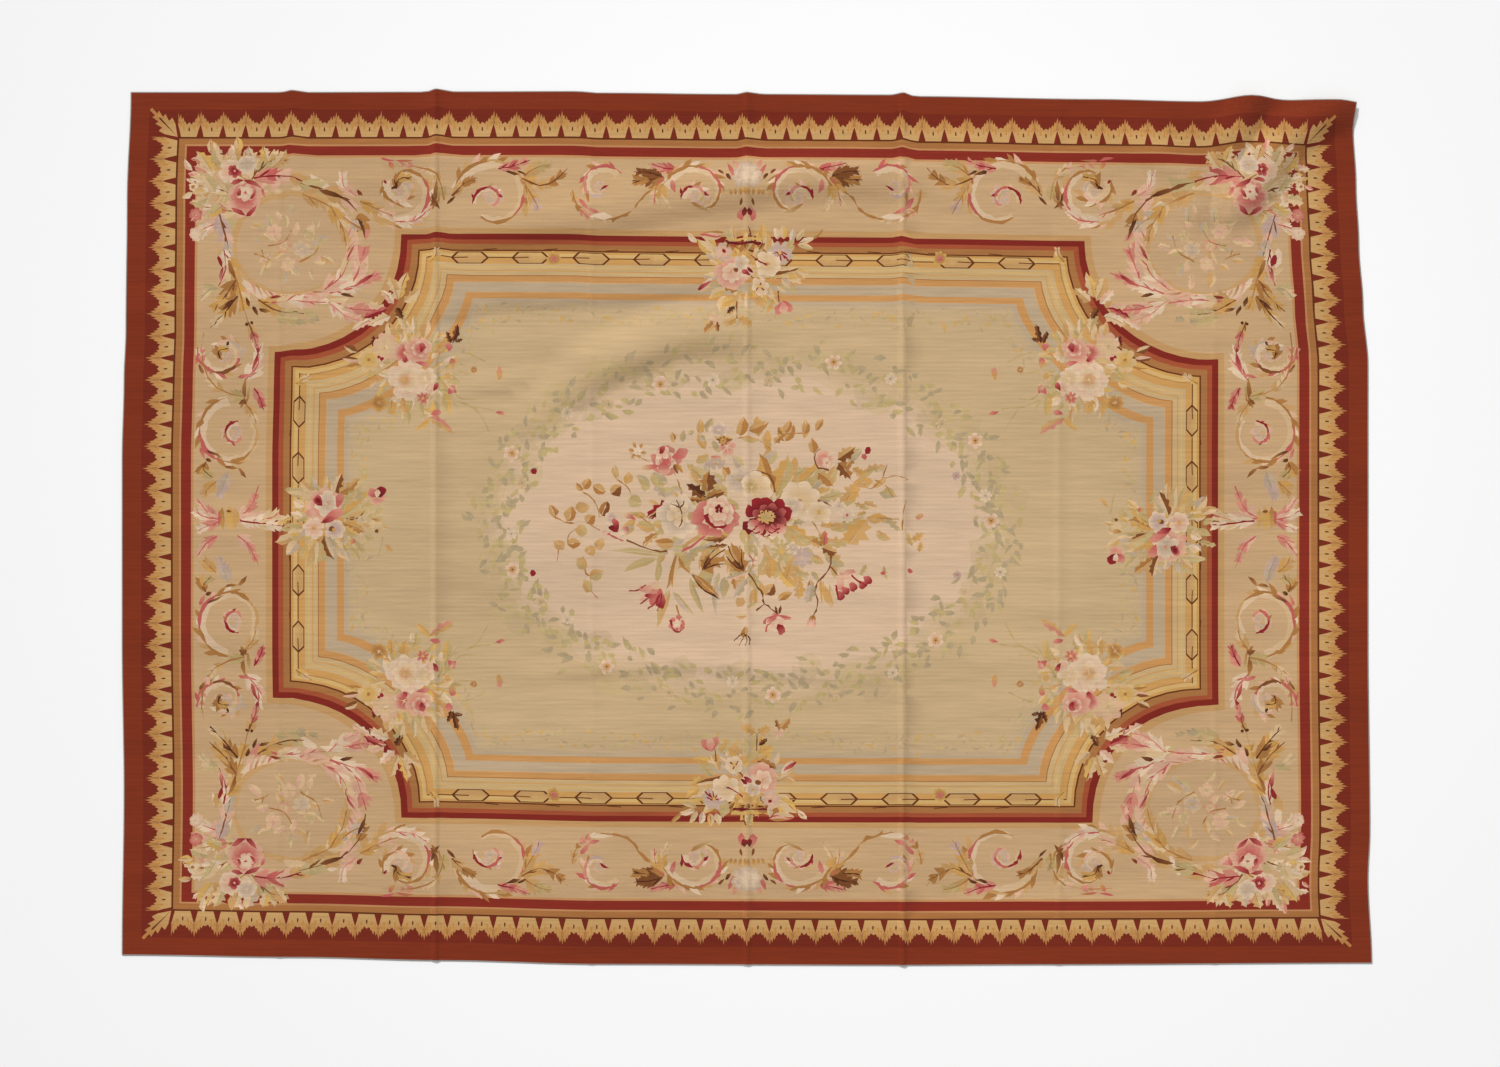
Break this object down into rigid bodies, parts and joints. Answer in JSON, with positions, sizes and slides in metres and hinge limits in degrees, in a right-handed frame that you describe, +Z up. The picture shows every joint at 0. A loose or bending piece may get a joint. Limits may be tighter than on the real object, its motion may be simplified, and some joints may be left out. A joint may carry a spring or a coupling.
{
  "type": "aubusson rug",
  "caption": "Large rectangular flat-woven tapestry rug lying on a floor, with soft swags, storage creases, a leaf-tip border, scroll border and flower medallion.",
  "frame": {"origin": "centre of the rug's outline, at floor level under the cloth", "axes": "+X along the long side to the right, +Y towards the far long edge (the top of the design as seen face on), +Z up out of the woven face"},
  "size_m": [3.962, 2.7779, 0.0329],
  "materials": {
    "wool": "matte flat-woven wool"
  },
  "bodies": {
    "root": {"woven_carpet": "wool"}
  },
  "joints": []
}
